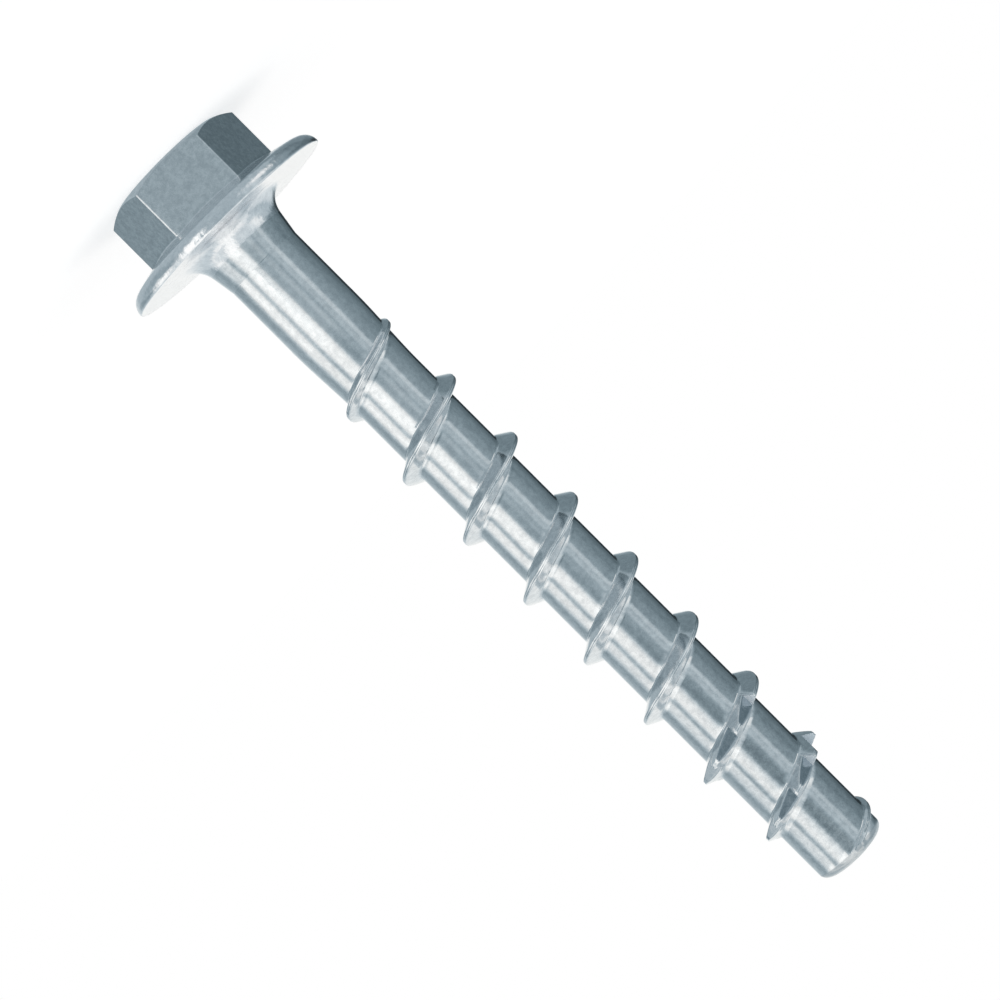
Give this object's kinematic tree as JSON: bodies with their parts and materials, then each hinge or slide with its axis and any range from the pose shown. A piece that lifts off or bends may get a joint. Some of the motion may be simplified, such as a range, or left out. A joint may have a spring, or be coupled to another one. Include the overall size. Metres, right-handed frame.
{
  "type": "concrete_screw",
  "caption": "Zinc-plated self-tapping concrete screw, 8 mm hole size, 79 mm under the head, 13 mm hexagon head with a wide domed flange and a saw-toothed thread",
  "frame": {"origin": "centre of the hexagon head's flat end, the end that the screw stands on", "axes": "+Z runs along the screw's axis from the head to the tip; one flat of the hexagon faces -Y and two of its corners lie on X"},
  "size_m": [0.0222, 0.0222, 0.087],
  "materials": {
    "zinc_plated_steel": "bright zinc plating, satin"
  },
  "bodies": {
    "root": {"concrete_screw": "zinc_plated_steel"}
  },
  "joints": []
}
